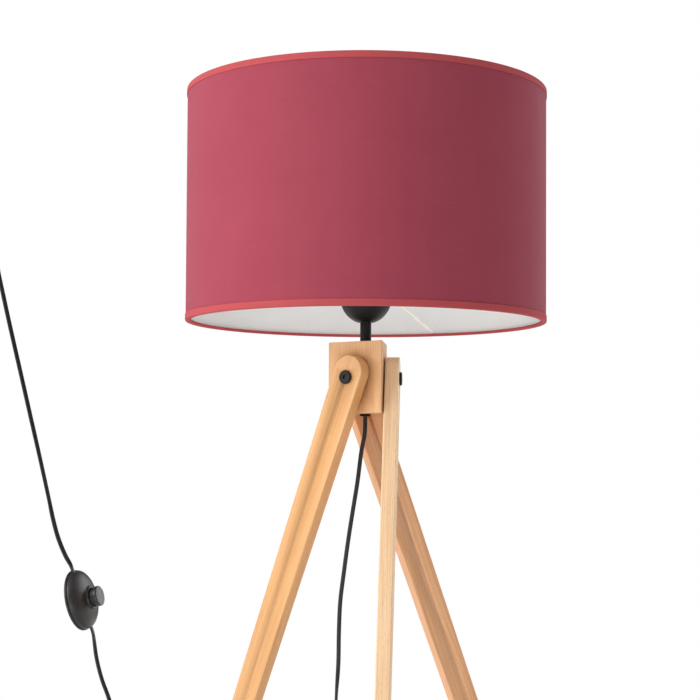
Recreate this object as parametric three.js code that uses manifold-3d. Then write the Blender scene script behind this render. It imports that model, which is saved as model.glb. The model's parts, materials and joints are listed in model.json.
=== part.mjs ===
// Tripod floor lamp: a drum shade on a black stem, over a triangular wooden head block
// with three tapered wooden legs that swing on one bolt each.
// Millimetres, +Z up, floor at Z = 0. The legs stand against the block's faces like a pinwheel.
import * as THREE from 'three';
import { mergeVertices } from 'three/addons/utils/BufferGeometryUtils.js';
import Module from 'manifold-3d';

const wasm = await Module();
wasm.setup();

// ---------------------------------------------------------------- driving dimensions
const GAP = 0.3; // clearance left between pieces that touch
const TOTAL_HEIGHT = 1450;

const SHADE_RADIUS = 225;
const SHADE_HEIGHT = 290;
const FABRIC_THICKNESS = 0.8;
const LINING_THICKNESS = 0.6;
const TAPE_THICKNESS = 0.5;
const TAPE_HEIGHT = 8; // flap outside the rim
const TAPE_TUCK = 3.6; // flap inside the rim
const WIRE_RADIUS = 1.5;
const SPIDER_RISE = 53; // hub ring above the shade's lower rim
const SPIDER_TURN = 65.2; // first spider arm, degrees from +X

const BLOCK_SIDE = 83;
const BLOCK_HEIGHT = 89.5;
const BLOCK_DROP = 24.5; // block top below the shade's lower rim
const BLOCK_TURN = -34.7; // first face's normal, degrees from -Y
const BLOCK_CORNER = 1.6;
const BLOCK_EASING = 0.8;

const LEG_SPLAY = 21.1; // degrees from upright
const LEG_WIDTH = 41.2; // at the pivot
const LEG_TAPER = 0.0175; // width lost per millimetre down the leg
const LEG_THICKNESS = 17.2;
const LEG_EASING = 1.2;
const LEG_TOP_RISE = 7.1; // centre of the round top above the pivot
const PIVOT_DROP = 45.5; // pivot below the block's top
const SPACER_THICKNESS = 1;
const FOOT_HEIGHT = 3;

const BOLT_HEAD_RADIUS = 8.5;
const BOLT_HEAD_HEIGHT = 2.8;
const BOLT_RADIUS = 3;
const BOLT_SOCKET = 5; // across the flats
const BOLT_GRIP = 11; // thread inside the insert
const STOP_PIN_RADIUS = 2.5;
const STOP_PIN_REACH = 13; // stop pin from the pivot
const STOP_PIN_SEAT = 6.7; // pin's length inside the block
const STOP_SLOT_DEPTH = 6;
const INSERT_RADIUS = 4.3;
const INSERT_DEPTH = 12.4;
const SPACER_RADIUS = 8;

const STEM_RADIUS = 7;
const ROD_RADIUS = 5;
const ROD_BORE = 3.9;
const ROD_NUT_RADIUS = 6.85;
const ROD_NUT_HEIGHT = 2.7;
const DOME_RADIUS = 32;
const DOME_RISE = 31; // dome's open edge above the shade's lower rim
const DOME_WALL = 1.2;
const DOME_SEAT = 11; // radius of the dome's flat foot
const CORD_GRIP_LENGTH = 28;
const NUT_ACROSS_FLATS = 14;
const NUT_HEIGHT = 3.2;

const HOLDER_RADIUS = 19;
const BULB_RADIUS = 30;
const BULB_LENGTH = 110;

const LEAD_RADIUS = 2;
const SWITCH_RADIUS = 37;
const SWITCH_TRAVEL = 3.5;

const ROUND = 24; // sides of a small turned piece
const WIDE_ROUND = 48; // sides of the shade

// ---------------------------------------------------------------- derived heights
const shadeBottom = TOTAL_HEIGHT - SHADE_HEIGHT;
const blockTop = shadeBottom - BLOCK_DROP;
const blockBottom = blockTop - BLOCK_HEIGHT;
const blockFace = BLOCK_SIDE / (2 * Math.sqrt(3)); // face distance from the axis
const pivotHeight = blockTop - PIVOT_DROP;
const legInner = blockFace + SPACER_THICKNESS + 2 * GAP; // leg's inner face from the axis
const legOuter = legInner + LEG_THICKNESS;
const rodBottom = blockBottom - GAP - ROD_NUT_HEIGHT;
const domeEdge = shadeBottom + DOME_RISE;
const domeFoot = domeEdge - Math.sqrt(DOME_RADIUS ** 2 - DOME_SEAT ** 2);
const spiderHeight = shadeBottom + SPIDER_RISE;
const splay = THREE.MathUtils.degToRad(LEG_SPLAY);

// ---------------------------------------------------------------- colours
const paint = (color, roughness, metalness = 0) => ({ color, roughness, metalness });
const BEECH = paint(0xd9a877, 0.55);
const BLACK_METAL = paint(0x1b1b1c, 0.38, 0.6);
const BLACK_PLASTIC = paint(0x242424, 0.5);
const BURGUNDY = paint(0xa84a62, 0.9);
const CORAL = paint(0xc85a58, 0.85);
const WHITE = paint(0xdedcda, 0.7);
const WHITE_METAL = paint(0xe6e3da, 0.45, 0.3);
const STEEL = paint(0xa8abad, 0.3, 0.9);
const BRASS = paint(0xb9964f, 0.35, 0.9);
const CERAMIC = paint(0xe9e6df, 0.6);
const FELT = paint(0x3a3633, 0.95);

// ---------------------------------------------------------------- geometry helpers
// Merges shared corners, drops collapsed triangles and turns the faces outwards.
function closed(geometry) {
  const bare = geometry.clone();
  bare.deleteAttribute('normal');
  bare.deleteAttribute('uv');
  const merged = mergeVertices(bare, 1e-4);
  const index = [];
  const position = merged.attributes.position;
  const corner = [new THREE.Vector3(), new THREE.Vector3(), new THREE.Vector3()];
  let volume = 0;
  for (let i = 0; i < merged.index.count; i += 3) {
    const ids = [0, 1, 2].map((k) => merged.index.getX(i + k));
    if (ids[0] === ids[1] || ids[1] === ids[2] || ids[2] === ids[0]) continue;
    index.push(...ids);
    ids.forEach((id, k) => corner[k].fromBufferAttribute(position, id));
    volume += corner[0].dot(corner[1].clone().cross(corner[2]));
  }
  merged.setIndex(volume < 0 ? index.reverse() : index);
  return merged;
}

function toManifold(geometry) {
  const body = closed(geometry);
  const vertProperties = new Float32Array(body.attributes.position.array);
  const triVerts = new Uint32Array(body.index.array);
  return new wasm.Manifold(new wasm.Mesh({ numProp: 3, vertProperties, triVerts }));
}

function fromManifold(manifold) {
  const mesh = manifold.getMesh();
  const geometry = new THREE.BufferGeometry();
  geometry.setAttribute('position', new THREE.Float32BufferAttribute(mesh.vertProperties, 3));
  geometry.setIndex([...mesh.triVerts]);
  return geometry;
}

function cut(geometry, ...tools) {
  return fromManifold(tools.reduce((rest, tool) => rest.subtract(toManifold(tool)), toManifold(geometry)));
}

// A turned body from [radius, height] pairs. A profile that doesn't touch the axis is closed on itself.
function turned(profile, sides = ROUND) {
  const points = profile.map(([radius, height]) => new THREE.Vector2(radius, height));
  if (points[0].x > 0) points.push(points[0].clone());
  return closed(new THREE.LatheGeometry(points, sides).rotateX(Math.PI / 2));
}

function pipe(outer, inner, bottom, top, sides = ROUND) {
  return turned([[inner, bottom], [outer, bottom], [outer, top], [inner, top]], sides);
}

function rod(radius, bottom, top, sides = ROUND) {
  return turned([[0, bottom], [radius, bottom], [radius, top], [0, top]], sides);
}

// Points of an arc in a turned profile, angles in degrees from the outward direction.
function arc(centreRadius, centreHeight, radius, from, to, steps) {
  return Array.from({ length: steps + 1 }, (_, i) => {
    const angle = THREE.MathUtils.degToRad(from + ((to - from) * i) / steps);
    return [centreRadius + radius * Math.cos(angle), centreHeight + radius * Math.sin(angle)];
  });
}

function wireRing(ringRadius, height, sides) {
  return turned(arc(ringRadius, height, WIRE_RADIUS, 0, 300, 5), sides);
}

function wire(from, to) {
  const length = from.distanceTo(to);
  const bar = rod(WIRE_RADIUS, 0, length, 10);
  const turn = new THREE.Quaternion().setFromUnitVectors(
    new THREE.Vector3(0, 0, 1),
    to.clone().sub(from).normalize(),
  );
  return bar.applyQuaternion(turn).translate(from.x, from.y, from.z);
}

function polygon(sides, acrossFlats) {
  const radius = acrossFlats / 2 / Math.cos(Math.PI / sides);
  const shape = new THREE.Shape();
  for (let i = 0; i < sides; i += 1) {
    const angle = (2 * Math.PI * i) / sides;
    shape[i ? 'lineTo' : 'moveTo'](radius * Math.cos(angle), radius * Math.sin(angle));
  }
  return shape;
}

// An outline raised by depth with its long edges eased, inside the outline's own size.
function eased(shape, depth, easing, curveSegments = 12) {
  return new THREE.ExtrudeGeometry(shape, {
    depth: depth - 2 * easing,
    bevelEnabled: true,
    bevelSize: easing,
    bevelThickness: easing,
    bevelOffset: -easing,
    bevelSegments: 1,
    curveSegments,
  }).translate(0, 0, easing);
}

function piece(name, geometry, finish) {
  const mesh = new THREE.Mesh(closed(geometry), new THREE.MeshStandardMaterial(finish));
  mesh.name = name;
  return mesh;
}

// ---------------------------------------------------------------- head block
function blockOutline() {
  const corner = (2 * BLOCK_SIDE) / (2 * Math.sqrt(3)) - 2 * BLOCK_CORNER;
  const shape = new THREE.Shape();
  for (let i = 0; i < 3; i += 1) {
    const middle = THREE.MathUtils.degToRad(-30 + 120 * i);
    const [x, y] = [corner * Math.cos(middle), corner * Math.sin(middle)];
    shape.absarc(x, y, BLOCK_CORNER, middle - Math.PI / 3, middle + Math.PI / 3, false);
  }
  return shape;
}

// Local frame of one side: -Y is the face's normal, the foot goes towards -X.
const sideTurn = (i) => THREE.MathUtils.degToRad(BLOCK_TURN + 120 * i);

// Lays an upright turned piece into the block: its foot on the face, its top inside.
function intoBlock(geometry, height) {
  return geometry.rotateX(-Math.PI / 2).translate(0, -blockFace, height);
}

// Lays an upright turned piece out from the block: its foot on the face, its top outside.
function outOfBlock(geometry, height) {
  return geometry.rotateX(Math.PI / 2).translate(0, -blockFace, height);
}

function headBlock() {
  const prism = eased(blockOutline(), BLOCK_HEIGHT, BLOCK_EASING, 3).translate(0, 0, blockBottom);
  prism.rotateZ(sideTurn(0));
  const bores = [rod(ROD_RADIUS + GAP, blockBottom - 1, blockTop + 1)];
  for (let i = 0; i < 3; i += 1) {
    const insertBore = rod(INSERT_RADIUS + GAP, -1, INSERT_DEPTH + 1, 16);
    const pinBore = rod(STOP_PIN_RADIUS + GAP, -1, STOP_PIN_SEAT + GAP, 12);
    bores.push(intoBlock(insertBore, pivotHeight).rotateZ(sideTurn(i)));
    bores.push(intoBlock(pinBore, pivotHeight + STOP_PIN_REACH).rotateZ(sideTurn(i)));
  }
  return cut(prism, ...bores);
}

// ---------------------------------------------------------------- legs
const halfWidth = (down) => (LEG_WIDTH - LEG_TAPER * down) / 2;

// Leg outline in the side's X-Z plane, round at the top and cut level above the floor.
function legOutline() {
  const [sin, cos] = [Math.sin(splay), Math.cos(splay)];
  const foot = (sign) => {
    const drop = pivotHeight - FOOT_HEIGHT + (sign * LEG_WIDTH * sin) / 2;
    const down = drop / (cos + (sign * LEG_TAPER * sin) / 2);
    const across = sign * halfWidth(down);
    return [-down * sin - across * cos, FOOT_HEIGHT];
  };
  const shape = new THREE.Shape();
  shape.moveTo(...foot(-1));
  shape.absarc(
    LEG_TOP_RISE * sin,
    pivotHeight + LEG_TOP_RISE * cos,
    halfWidth(-LEG_TOP_RISE),
    -splay,
    Math.PI - splay,
    false,
  );
  shape.lineTo(...foot(1));
  return shape;
}

// Curved slot in the leg's inner face, in which the stop pin runs as the leg swings.
function stopSlot() {
  const radius = STOP_PIN_RADIUS + GAP;
  const shape = new THREE.Shape();
  const [from, to] = [Math.PI / 2 - splay, Math.PI / 2];
  const end = (angle) => [
    STOP_PIN_REACH * Math.cos(angle),
    pivotHeight + STOP_PIN_REACH * Math.sin(angle),
  ];
  shape.absarc(0, pivotHeight, STOP_PIN_REACH + radius, from, to, false);
  shape.absarc(...end(to), radius, to, to + Math.PI, false);
  shape.absarc(0, pivotHeight, STOP_PIN_REACH - radius, to, from, true);
  shape.absarc(...end(from), radius, from + Math.PI, from + 2 * Math.PI, false);
  const depth = STOP_SLOT_DEPTH + 1;
  return new THREE.ExtrudeGeometry(shape, { depth, bevelEnabled: false, curveSegments: 4 });
}

function leg() {
  const board = eased(legOutline(), LEG_THICKNESS, LEG_EASING, 10);
  const hole = rod(BOLT_RADIUS + GAP, -1, LEG_THICKNESS + 1, 16).translate(0, pivotHeight, 0);
  const slot = stopSlot().translate(0, 0, -1);
  return cut(board, hole, slot).rotateX(Math.PI / 2).translate(0, -legInner, 0);
}

function footPad() {
  const inset = 1.6;
  const [sin, cos] = [Math.sin(splay), Math.cos(splay)];
  const down = (pivotHeight - FOOT_HEIGHT) / cos;
  const length = (2 * halfWidth(down)) / cos - 2 * inset;
  const width = LEG_THICKNESS - 2 * inset;
  const shape = new THREE.Shape();
  const corner = 2;
  const [x, y] = [length / 2 - corner, width / 2 - corner];
  shape.absarc(x, -y, corner, -Math.PI / 2, 0, false);
  shape.absarc(x, y, corner, 0, Math.PI / 2, false);
  shape.absarc(-x, y, corner, Math.PI / 2, Math.PI, false);
  shape.absarc(-x, -y, corner, Math.PI, 1.5 * Math.PI, false);
  const depth = FOOT_HEIGHT - GAP;
  const pad = new THREE.ExtrudeGeometry(shape, { depth, bevelEnabled: false, curveSegments: 3 });
  return pad.translate(-down * sin, -(legInner + legOuter) / 2, 0);
}

function pivotBolt() {
  const length = LEG_THICKNESS + SPACER_THICKNESS + 3 * GAP + BOLT_GRIP;
  const edge = 1.1;
  const top = BOLT_HEAD_HEIGHT;
  const head = turned([
    [0, -length],
    [BOLT_RADIUS - 0.5, -length],
    [BOLT_RADIUS, 0.5 - length],
    [BOLT_RADIUS, 0],
    ...arc(BOLT_HEAD_RADIUS - edge / 2, edge / 2, edge / 2, -90, 0, 1),
    ...arc(BOLT_HEAD_RADIUS - edge, top - edge, edge, 0, 90, 2),
    [0, top],
  ], 20);
  const socket = new THREE.ExtrudeGeometry(polygon(6, BOLT_SOCKET), { depth: 3, bevelEnabled: false });
  return cut(head, socket.translate(0, 0, top - 2)).rotateX(Math.PI / 2);
}

function legAssembly(i) {
  const number = i + 1;
  const side = new THREE.Group();
  side.rotation.z = sideTurn(i);
  const bolt = piece(`pivot_bolt_${number}`, pivotBolt(), BLACK_METAL);
  bolt.position.set(0, -legOuter - GAP, pivotHeight);
  const hole = BOLT_RADIUS + GAP;
  const insert = pipe(INSERT_RADIUS, hole, 0.4, INSERT_DEPTH, 16);
  const spacer = pipe(SPACER_RADIUS, hole, GAP, GAP + SPACER_THICKNESS, 20);
  const pinTop = legInner - blockFace + STOP_SLOT_DEPTH - 2 * GAP;
  const pin = rod(STOP_PIN_RADIUS, GAP - STOP_PIN_SEAT, pinTop, 12);
  side.add(
    piece(`leg_${number}`, leg(), BEECH),
    piece(`foot_pad_${number}`, footPad(), FELT),
    bolt,
    piece(`threaded_insert_${number}`, intoBlock(insert, pivotHeight), BRASS),
    piece(`spacer_washer_${number}`, outOfBlock(spacer, pivotHeight), BLACK_METAL),
    piece(`stop_pin_${number}`, outOfBlock(pin, pivotHeight + STOP_PIN_REACH), STEEL),
  );
  return side;
}

// ---------------------------------------------------------------- stem and dome
function hexNut(acrossFlats, height, bottom) {
  const shape = polygon(6, acrossFlats);
  const block = new THREE.ExtrudeGeometry(shape, { depth: height, bevelEnabled: false });
  return cut(block, rod(ROD_RADIUS + GAP, -1, height + 1)).translate(0, 0, bottom);
}

// Half-round cup on a small flat foot.
function dome() {
  const lowest = (radius) => -THREE.MathUtils.radToDeg(Math.acos(DOME_SEAT / radius));
  const hole = ROD_RADIUS + GAP;
  const inner = DOME_RADIUS - DOME_WALL;
  return turned([
    [hole, domeFoot],
    ...arc(0, domeEdge, DOME_RADIUS, lowest(DOME_RADIUS), 0, 7),
    ...arc(0, domeEdge, inner, 0, lowest(inner), 7),
    [DOME_SEAT, domeFoot + DOME_WALL],
    [hole, domeFoot + DOME_WALL],
  ]);
}

function stem() {
  const rodTop = shadeBottom + 17;
  const [gripFoot, gripTop] = [rodBottom + 0.2, rodBottom + CORD_GRIP_LENGTH];
  const grip = turned([
    [LEAD_RADIUS + GAP, gripFoot],
    [ROD_BORE - GAP, gripFoot],
    [ROD_BORE - GAP - 0.7, gripTop],
    [LEAD_RADIUS + GAP, gripTop],
  ], 20);
  return [
    piece('stem_tube', pipe(STEM_RADIUS, ROD_RADIUS + GAP, blockTop + GAP, domeFoot - GAP), BLACK_METAL),
    piece('threaded_rod', pipe(ROD_RADIUS, ROD_BORE, rodBottom, rodTop), STEEL),
    piece('rod_end_nut', pipe(ROD_NUT_RADIUS, ROD_RADIUS + GAP, rodBottom, blockBottom - GAP), BLACK_METAL),
    piece('cord_grip', grip, BLACK_PLASTIC),
    piece('dome_cup', dome(), BLACK_METAL),
    piece('dome_nut', hexNut(NUT_ACROSS_FLATS, NUT_HEIGHT, domeFoot + DOME_WALL + GAP), STEEL),
  ];
}

// ---------------------------------------------------------------- lampholder and bulb
const holder = {
  wall: 2,
  bottom: domeFoot + DOME_WALL + NUT_HEIGHT + 2 * GAP,
  split: shadeBottom + 26, // where the cap ends and the shell begins
  shoulder: spiderHeight - WIRE_RADIUS - GAP,
  top: shadeBottom + 72,
  coreBottom: shadeBottom + 18.6,
  coreTop: shadeBottom + 39,
  screwRadius: 14.6,
  screwTop: shadeBottom + 66,
  contactTop: shadeBottom + 42,
};

function lampholderCap() {
  const { wall, bottom, split } = holder;
  const corner = 5;
  const inner = HOLDER_RADIUS - wall;
  return turned([
    [ROD_RADIUS + GAP, bottom],
    ...arc(HOLDER_RADIUS - corner, bottom + corner, corner, -90, 0, 4),
    [HOLDER_RADIUS, split - GAP],
    [inner, split - GAP],
    [inner, bottom + corner],
    [ROD_RADIUS + GAP, bottom + corner],
  ]);
}

// Straight shell with the shoulder that the spider's hub ring rests on.
function lampholderShell() {
  const { wall, split, shoulder, top } = holder;
  const inner = HOLDER_RADIUS - wall;
  const flange = 5;
  const threaded = HOLDER_RADIUS - 0.2;
  return turned([
    [inner, split],
    [HOLDER_RADIUS, split],
    [HOLDER_RADIUS, shoulder - 3],
    [HOLDER_RADIUS + flange, shoulder - 2],
    [HOLDER_RADIUS + flange, shoulder],
    [threaded, shoulder],
    [threaded, top],
    [inner, top],
  ]);
}

function shadeRingNut() {
  const bottom = spiderHeight + WIRE_RADIUS + GAP;
  const inner = HOLDER_RADIUS + 0.4;
  const [flange, grip] = [HOLDER_RADIUS + 8, HOLDER_RADIUS + 3];
  return turned([
    [inner, bottom],
    [flange, bottom],
    [flange, bottom + 2],
    [grip, bottom + 3],
    [grip, bottom + 8],
    [inner, bottom + 8],
  ]);
}

function lampholder() {
  const { coreBottom, coreTop, screwRadius, screwTop, contactTop } = holder;
  const bottom = coreTop + 2 * GAP;
  const core = pipe(screwRadius + 0.4, LEAD_RADIUS + 0.5, coreBottom, coreTop);
  const screwShell = pipe(screwRadius, screwRadius - 0.8, bottom, screwTop);
  const contact = turned([
    [0, bottom],
    [4, bottom],
    [4, bottom + 1],
    [2, contactTop],
    [0, contactTop],
  ], 16);
  return [
    piece('lampholder_cap', lampholderCap(), BLACK_PLASTIC),
    piece('lampholder_shell', lampholderShell(), BLACK_PLASTIC),
    piece('lampholder_core', core, CERAMIC),
    piece('screw_shell', screwShell, BRASS),
    piece('centre_contact', contact, BRASS),
    piece('shade_ring_nut', shadeRingNut(), BLACK_PLASTIC),
  ];
}

function bulb() {
  const tip = holder.contactTop + GAP + 0.1;
  const neck = tip + 28; // where the screw cap ends
  const waist = neck + 34; // where the globe begins
  const centre = tip + BULB_LENGTH - BULB_RADIUS;
  const capRadius = 13;
  const cap = turned([
    [0, tip],
    [5, tip],
    [7, tip + 3],
    [capRadius, tip + 5],
    [capRadius, neck - GAP],
    [0, neck - GAP],
  ]);
  const body = turned([
    [0, neck],
    [capRadius + 1, neck],
    [capRadius + 2.5, neck + 6],
    [BULB_RADIUS - 6, neck + 24],
    [BULB_RADIUS - 2.5, waist],
    [0, waist],
  ]);
  const start = -THREE.MathUtils.radToDeg(Math.asin((centre - waist - GAP) / BULB_RADIUS));
  const globe = turned([[0, waist + GAP], ...arc(0, centre, BULB_RADIUS, start, 90, 7)]);
  return [
    piece('bulb_cap', cap, STEEL),
    piece('bulb_body', body, WHITE),
    piece('bulb_globe', globe, WHITE),
  ];
}

// ---------------------------------------------------------------- shade
// Folded tape round a rim: an outer flap, a web over the edge and an inner flap.
function tape(rim, direction) {
  const outer = SHADE_RADIUS + GAP;
  const inner = shadeWireRadius - WIRE_RADIUS - GAP;
  const web = rim + direction * TAPE_THICKNESS;
  const end = rim + direction * TAPE_HEIGHT;
  const tuck = rim + direction * TAPE_TUCK;
  return turned([
    [inner - TAPE_THICKNESS, rim],
    [outer + TAPE_THICKNESS, rim],
    [outer + TAPE_THICKNESS, end],
    [outer, end],
    [outer, web],
    [inner, web],
    [inner, tuck],
    [inner - TAPE_THICKNESS, tuck],
  ], WIDE_ROUND);
}

const liningRadius = SHADE_RADIUS - FABRIC_THICKNESS - GAP;
const shadeWireRadius = liningRadius - LINING_THICKNESS - GAP - WIRE_RADIUS;

function shade() {
  const inset = TAPE_THICKNESS + GAP;
  const [bottom, top] = [shadeBottom + inset, TOTAL_HEIGHT - inset];
  const fabric = pipe(SHADE_RADIUS, SHADE_RADIUS - FABRIC_THICKNESS, bottom, top, WIDE_ROUND);
  const lining = pipe(liningRadius, liningRadius - LINING_THICKNESS, bottom, top, WIDE_ROUND);
  return [
    piece('shade_fabric', fabric, BURGUNDY),
    piece('shade_lining', lining, WHITE),
    piece('tape_bottom', tape(shadeBottom, 1), CORAL),
    piece('tape_top', tape(TOTAL_HEIGHT, -1), CORAL),
    piece('wire_ring_top', wireRing(shadeWireRadius, top - WIRE_RADIUS, WIDE_ROUND), WHITE_METAL),
  ];
}

// Lower wire ring, hub ring round the lampholder and three arms between them.
function spider() {
  const ringHeight = shadeBottom + TAPE_THICKNESS + GAP + WIRE_RADIUS;
  const hubRadius = HOLDER_RADIUS + GAP + WIRE_RADIUS;
  const pieces = [
    piece('wire_ring_bottom', wireRing(shadeWireRadius, ringHeight, WIDE_ROUND), WHITE_METAL),
    piece('spider_hub', wireRing(hubRadius, spiderHeight, ROUND), WHITE_METAL),
  ];
  for (let i = 0; i < 3; i += 1) {
    const angle = THREE.MathUtils.degToRad(SPIDER_TURN + 120 * i);
    const along = (radius, height) =>
      new THREE.Vector3(radius * Math.cos(angle), radius * Math.sin(angle), height);
    const clear = 2 * WIRE_RADIUS + GAP;
    const inner = along(hubRadius + clear, spiderHeight - 0.4);
    const outer = along(shadeWireRadius - clear - TAPE_THICKNESS - 1, ringHeight + 8.5);
    pieces.push(piece(`spider_arm_${i + 1}`, wire(inner, outer), WHITE_METAL));
  }
  return pieces;
}

// ---------------------------------------------------------------- foot switch
// Local frame: +Z points out of the button, +X follows the lead down through the switch.
const SWITCH_CENTRE = new THREE.Vector3(-346.8, -60, 816.2);
const SWITCH_AXIS = new THREE.Vector3(0.94, -0.254, 0.219).normalize();
const SWITCH_RUN = new THREE.Vector3(0.2766, 0.2232, -0.9341);

const switchBody = {
  rim: SWITCH_RADIUS - 1,
  wall: 2,
  base: 3, // thickness of the base plate
  domeFoot: 5,
  domeRise: 14,
  collar: 13.6, // radius
  collarBore: 11.6,
  collarTop: 20.4,
  plunger: 10.6, // radius of the button inside the collar
  plungerFoot: 12,
  capRadius: 12.2,
  capHeight: 6,
};

function switchBase() {
  const { base } = switchBody;
  const edge = base / 2;
  return turned([[0, 0], ...arc(SWITCH_RADIUS - edge, edge, edge, -90, 90, 3), [0, base]], 28);
}

function switchCover() {
  const { rim, wall, base, domeFoot, domeRise, collar, collarBore, collarTop } = switchBody;
  const domeLine = (inset) =>
    arc(0, 0, 1, 0, 90, 6).map(([across, up]) => [
      across * (rim - inset),
      domeFoot - inset + up * domeRise,
    ]);
  const outside = domeLine(0).filter(([radius]) => radius > collar + 1);
  const inside = domeLine(wall).filter(([radius]) => radius > collar - 1).reverse();
  return turned([
    [rim, base + GAP],
    ...outside,
    [collar + 0.4, collarTop - 2.2],
    [collar, collarTop],
    [collarBore, collarTop],
    [collarBore, collarTop - 4.6],
    ...inside,
    [rim - wall, base + GAP],
  ], 28);
}

function switchButton() {
  const { collarTop, plunger, plungerFoot, capRadius, capHeight } = switchBody;
  const capBottom = collarTop + GAP + SWITCH_TRAVEL;
  const edge = 1.6;
  const bore = 7.2;
  return turned([
    [bore, plungerFoot],
    [plunger, plungerFoot],
    [plunger, capBottom],
    [capRadius, capBottom],
    ...arc(capRadius - edge, capBottom + capHeight - edge, edge, 0, 90, 2),
    [0, capBottom + capHeight],
    [0, capBottom - 2],
    [bore, capBottom - 2],
  ]);
}

class Helix extends THREE.Curve {
  constructor(radius, bottom, rise, turns) {
    super();
    Object.assign(this, { radius, bottom, rise, turns });
  }

  getPoint(t) {
    const angle = 2 * Math.PI * this.turns * t;
    return new THREE.Vector3(
      this.radius * Math.cos(angle),
      this.radius * Math.sin(angle),
      this.bottom + this.rise * t,
    );
  }
}

function switchSpring() {
  const turns = 3;
  const section = new THREE.Shape().absarc(0, 0, 0.5, 0, 2 * Math.PI, false);
  const extrudePath = new Helix(5, 9, 7, turns); // at its pressed length, above the works
  return new THREE.ExtrudeGeometry(section, { steps: 10 * turns, extrudePath, curveSegments: 3 });
}

function footSwitch() {
  const module = { length: 34, width: 20, height: 4.6 };
  const moduleBottom = switchBody.base + 0.4;
  const block = new THREE.BoxGeometry(module.length, module.width, module.height);
  const group = new THREE.Group();
  const across = new THREE.Vector3().crossVectors(SWITCH_AXIS, SWITCH_RUN).normalize();
  const run = new THREE.Vector3().crossVectors(across, SWITCH_AXIS);
  group.quaternion.setFromRotationMatrix(new THREE.Matrix4().makeBasis(run, across, SWITCH_AXIS));
  group.position.copy(SWITCH_CENTRE);
  group.add(
    piece('switch_base', switchBase(), BLACK_PLASTIC),
    piece('switch_cover', switchCover(), BLACK_PLASTIC),
    piece('switch_button', switchButton(), BLACK_PLASTIC),
    piece('switch_spring', switchSpring(), STEEL),
    piece('switch_module', block.translate(0, 0, moduleBottom + module.height / 2), CERAMIC),
  );
  return group;
}

// ---------------------------------------------------------------- mains plug
// Flat two-pin plug whose pins point along +Y, with a tapered sleeve on the lead.
const PLUG_PLACE = new THREE.Vector3(-497, 8, 1305);
const SLEEVE_LENGTH = 28;
const PLUG_LENGTH = 36;
const PLUG_THICKNESS = 13.6;
const PLUG_HALF_WIDTH = 17.5;
const PIN_SPACING = 18.6;
const PIN_LENGTH = 19;

function plugOutline() {
  const neck = 6.5; // half width where the lead comes in
  const shape = new THREE.Shape();
  shape.moveTo(-neck, 0);
  shape.lineTo(neck, 0);
  shape.lineTo(PLUG_HALF_WIDTH, PLUG_LENGTH / 2);
  shape.lineTo(PLUG_HALF_WIDTH, PLUG_LENGTH - 3);
  shape.lineTo(PLUG_HALF_WIDTH - 2, PLUG_LENGTH);
  shape.lineTo(2 - PLUG_HALF_WIDTH, PLUG_LENGTH);
  shape.lineTo(-PLUG_HALF_WIDTH, PLUG_LENGTH - 3);
  shape.lineTo(-PLUG_HALF_WIDTH, PLUG_LENGTH / 2);
  return shape;
}

function plug() {
  const [thin, thick] = [3.4, 5]; // sleeve radius at the lead and at the plug
  const sleeve = turned([
    [0, 0],
    [thin, 0],
    [thick, SLEEVE_LENGTH - 2],
    [thick, SLEEVE_LENGTH],
    [0, SLEEVE_LENGTH],
  ], 20);
  const body = eased(plugOutline(), PLUG_THICKNESS, 2.4).translate(0, 0, -PLUG_THICKNESS / 2);
  const bodyMesh = piece('plug_body', body, BLACK_PLASTIC);
  bodyMesh.position.y = SLEEVE_LENGTH + GAP;
  const group = new THREE.Group();
  group.position.copy(PLUG_PLACE);
  group.add(piece('plug_sleeve', sleeve.rotateX(-Math.PI / 2), BLACK_PLASTIC), bodyMesh);
  for (const number of [1, 2]) {
    const side = number === 1 ? -1 : 1;
    const pin = turned([[0, 0], [2, 0], [2, PIN_LENGTH - 1.5], [1.2, PIN_LENGTH], [0, PIN_LENGTH]], 16);
    const mesh = piece(`plug_pin_${number}`, pin.rotateX(-Math.PI / 2), STEEL);
    mesh.position.set((side * PIN_SPACING) / 2, SLEEVE_LENGTH + PLUG_LENGTH + 2 * GAP, 0);
    group.add(mesh);
  }
  return group;
}

// ---------------------------------------------------------------- mains lead
const LEAD_LOW = LEAD_RADIUS + 0.5; // height of the lead's centre on the floor

// From under the head block, down to the floor, out between the legs and up to the switch.
const LEAD_TO_SWITCH = [
  [0, 0, 1042.6], [-0.5, 0, 1022], [-4.5, 1, 1000], [-9.5, 2, 960], [-14.5, 3, 928],
  [-20, 4, 892], [-25.5, 5, 850], [-30, 6, 812], [-31.5, 6, 775], [-32, 6, 735],
  [-34.5, 6, 687], [-34, 5, 600], [-29, 2, 480], [-23, 0, 360], [-16, -4, 240],
  [-9, -9, 140], [-3, -17, 62], [4, -30, 24], [10, -46, 8], [13, -66, 3],
  [8, -87, LEAD_LOW], [-9, -103, LEAD_LOW], [-34, -109, LEAD_LOW], [-64, -105, LEAD_LOW],
  [-96, -93, LEAD_LOW], [-130, -77, 3], [-164, -64, 7], [-199, -56, 28],
  [-228, -52, 82], [-247, -51, 180], [-263, -50, 320], [-277, -50, 470],
  [-290, -50, 600], [-307, -51, 690], [-318.5, -51, 722], [-325, -51, 747],
  [-329.3, -51.5, 776], [-331.49, -53.32, 783.52],
];

// From the switch, up out to the side and into the plug.
const LEAD_TO_PLUG = [
  [-351.57, -69.52, 851.34], [-353.8, -71.3, 858.8], [-360, -72.5, 870], [-369.5, -70, 891],
  [-377, -65.5, 914], [-383, -62, 938],
  [-394.5, -60, 986], [-406.3, -60, 1035], [-420, -60, 1092], [-434, -60, 1150],
  [-447, -60, 1206], [-456, -59, 1244], [-467, -57, 1273], [-480, -48, 1293],
  [-491, -32, 1303], [-497, -12, 1305], [-497, 7.7, 1305],
];

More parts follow.
